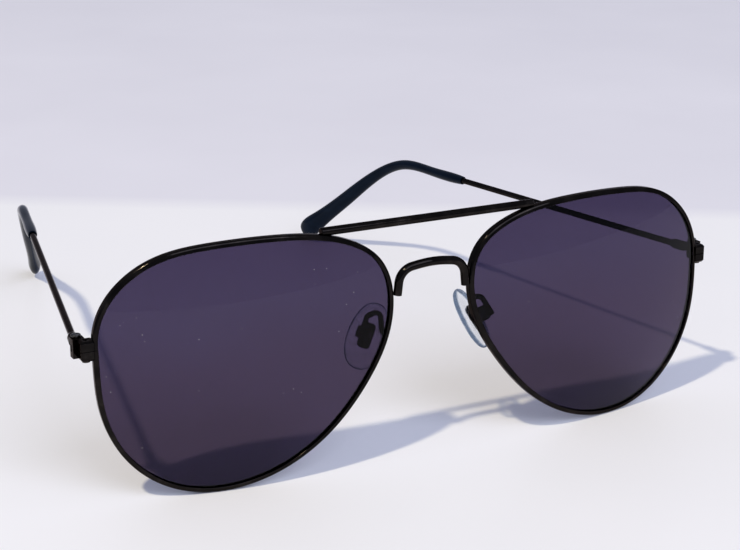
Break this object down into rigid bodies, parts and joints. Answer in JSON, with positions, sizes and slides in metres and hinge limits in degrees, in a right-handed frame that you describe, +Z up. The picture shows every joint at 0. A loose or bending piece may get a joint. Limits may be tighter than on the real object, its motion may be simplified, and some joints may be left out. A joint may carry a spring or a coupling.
{
  "type": "aviator sunglasses",
  "caption": "Wire-framed aviator sunglasses with a brow bar, curved smoke lenses, rocking clear nose pads and folding temples with dark moulded ear tips.",
  "frame": {"origin": "middle of the underside of the standing pair's bounding box, on the surface it stands on", "axes": "+X to the wearer's left, across the front; +Y backwards, from the lenses to the ear tips; +Z up. The front leans back 2.3 degrees, as the pair stands on its rims, with the ear tips about 1 mm above the table."},
  "size_m": [0.1422, 0.1396, 0.05],
  "materials": {
    "gunmetal": "gloss black nickel plating",
    "screw_steel": "dark plated steel",
    "pad_metal": "dark plated metal",
    "smoke_lens": "polished smoke-grey tint",
    "ear_tip": "polished black",
    "clear_pad": "clear soft silicone"
  },
  "bodies": {
    "front": {"bridge": "gunmetal", "brow_bar": "gunmetal", "endpiece_left": "gunmetal", "endpiece_right": "gunmetal", "hinge_screw_left": "screw_steel", "hinge_screw_right": "screw_steel", "lens_left": "smoke_lens", "lens_right": "smoke_lens", "pad_arm_left": "gunmetal", "pad_arm_right": "gunmetal", "pad_box_left": "pad_metal", "pad_box_right": "pad_metal", "pad_screw_left": "screw_steel", "pad_screw_right": "screw_steel", "rim_left": "gunmetal", "rim_lock_left": "gunmetal", "rim_lock_right": "gunmetal", "rim_lock_screw_left": "screw_steel", "rim_lock_screw_right": "screw_steel", "rim_right": "gunmetal"},
    "left_temple": {"temple_hinge_left": "gunmetal", "temple_left": "gunmetal", "temple_tip_left": "ear_tip"},
    "right_temple": {"temple_hinge_right": "gunmetal", "temple_right": "gunmetal", "temple_tip_right": "ear_tip"},
    "left_pad": {"nose_pad_left": "clear_pad", "pad_core_left": "pad_metal"},
    "right_pad": {"nose_pad_right": "clear_pad", "pad_core_right": "pad_metal"}
  },
  "joints": [
    {"name": "left_temple_fold", "type": "hinge", "parent": "front", "child": "left_temple", "pos_m": [0.07, -0.05835, 0.03117], "axis": [0, 0.0401, 0.9992], "range_deg": [-2.7, 73]},
    {"name": "right_temple_fold", "type": "hinge", "parent": "front", "child": "right_temple", "pos_m": [-0.07, -0.05835, 0.03117], "axis": [0, -0.0401, -0.9992], "range_deg": [0, 67]},
    {"name": "left_pad_rock", "type": "hinge", "parent": "front", "child": "left_pad", "pos_m": [0.01334, -0.06398, 0.02652], "axis": [0.6591, 0.7369, 0.1501], "range_deg": [-6, 6]},
    {"name": "right_pad_rock", "type": "hinge", "parent": "front", "child": "right_pad", "pos_m": [-0.01334, -0.06398, 0.02652], "axis": [0.6591, -0.7369, -0.1501], "range_deg": [-6, 6]}
  ]
}
